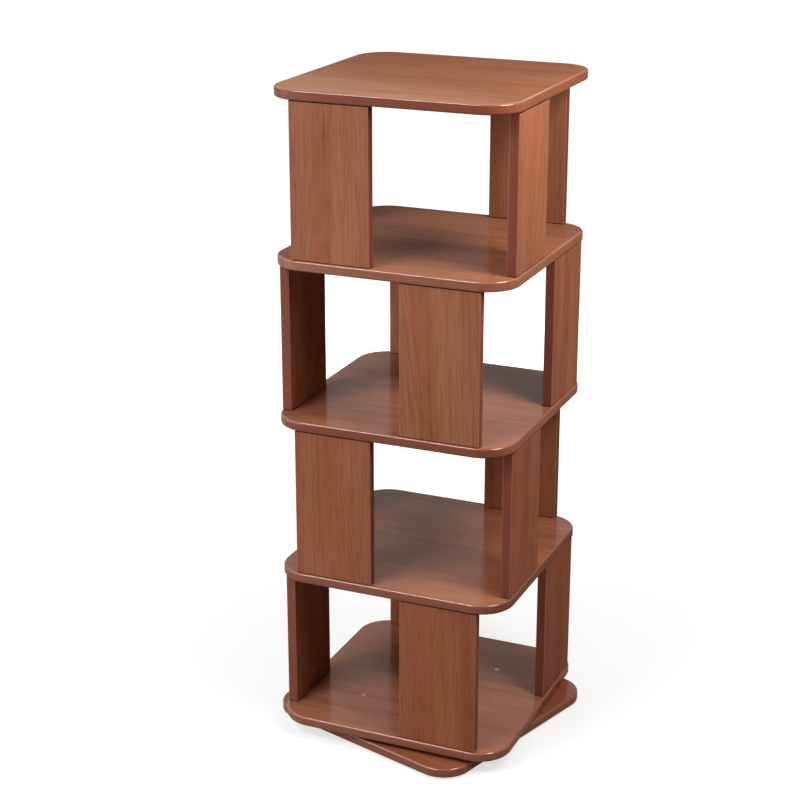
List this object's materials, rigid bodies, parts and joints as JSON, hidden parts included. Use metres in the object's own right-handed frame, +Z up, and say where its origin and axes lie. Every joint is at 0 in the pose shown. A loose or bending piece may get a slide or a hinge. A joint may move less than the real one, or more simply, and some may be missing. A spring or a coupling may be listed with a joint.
{
  "type": "revolving bookcase",
  "caption": "Tall revolving bookcase: rounded-square shelves held apart by pinwheel panels, turning on a ball-bearing ring over a fixed base board of the same outline.",
  "frame": {"origin": "on the turning axis, at the floor under the foot pads", "axes": "+Z up along the turning axis, X and Y along the sides of the boards at rest, -Y to the front"},
  "size_m": [0.524, 0.524, 1.2304],
  "materials": {
    "stained_wood": "reddish-brown stain under semi-gloss lacquer",
    "zinc": "die-cast zinc",
    "steel": "zinc-plated",
    "aluminium": "plain turned",
    "nylon": "moulded, natural",
    "rubber": "matt black"
  },
  "bodies": {
    "base": {"base_board": "stained_wood", "turntable_fixed_ring": "aluminium", "base_screw_1": "steel", "base_screw_2": "steel", "base_screw_3": "steel", "base_screw_4": "steel", "foot_pad_1": "rubber", "foot_pad_2": "rubber", "foot_pad_3": "rubber", "foot_pad_4": "rubber"},
    "case": {"bottom_board": "stained_wood", "lower_shelf": "stained_wood", "middle_shelf": "stained_wood", "upper_shelf": "stained_wood", "top_board": "stained_wood", "bottom_tier_front_panel": "stained_wood", "bottom_tier_right_panel": "stained_wood", "bottom_tier_back_panel": "stained_wood", "bottom_tier_left_panel": "stained_wood", "third_tier_front_panel": "stained_wood", "third_tier_right_panel": "stained_wood", "third_tier_back_panel": "stained_wood", "third_tier_left_panel": "stained_wood", "second_tier_front_panel": "stained_wood", "second_tier_right_panel": "stained_wood", "second_tier_back_panel": "stained_wood", "second_tier_left_panel": "stained_wood", "top_tier_front_panel": "stained_wood", "top_tier_right_panel": "stained_wood", "top_tier_back_panel": "stained_wood", "top_tier_left_panel": "stained_wood", "bottom_tier_front_cam_lock": "zinc", "bottom_tier_right_cam_lock": "zinc", "bottom_tier_back_cam_lock": "zinc", "bottom_tier_left_cam_lock": "zinc", "third_tier_front_cam_lock": "zinc", "third_tier_right_cam_lock": "zinc", "third_tier_back_cam_lock": "zinc", "third_tier_left_cam_lock": "zinc", "second_tier_front_cam_lock": "zinc", "second_tier_right_cam_lock": "zinc", "second_tier_back_cam_lock": "zinc", "second_tier_left_cam_lock": "zinc", "top_tier_front_cam_lock": "zinc", "top_tier_right_cam_lock": "zinc", "top_tier_back_cam_lock": "zinc", "top_tier_left_cam_lock": "zinc", "turntable_turning_ring": "aluminium", "case_screw_1": "steel", "case_screw_2": "steel", "case_screw_3": "steel", "case_screw_4": "steel"},
    "ball_cage": {"turntable_ball_cage": "nylon"}
  },
  "joints": [
    {"name": "case_spin", "type": "hinge", "parent": "base", "child": "case", "pos_m": [0, 0, 0.0248], "axis": [0, 0, 1], "continuous": true},
    {"name": "cage_spin", "type": "hinge", "parent": "base", "child": "ball_cage", "pos_m": [0, 0, 0.0248], "axis": [0, 0, 1], "continuous": true}
  ],
  "couplings": [
    {"joint": "cage_spin", "follows": "case_spin", "ratio": 0.5049}
  ]
}
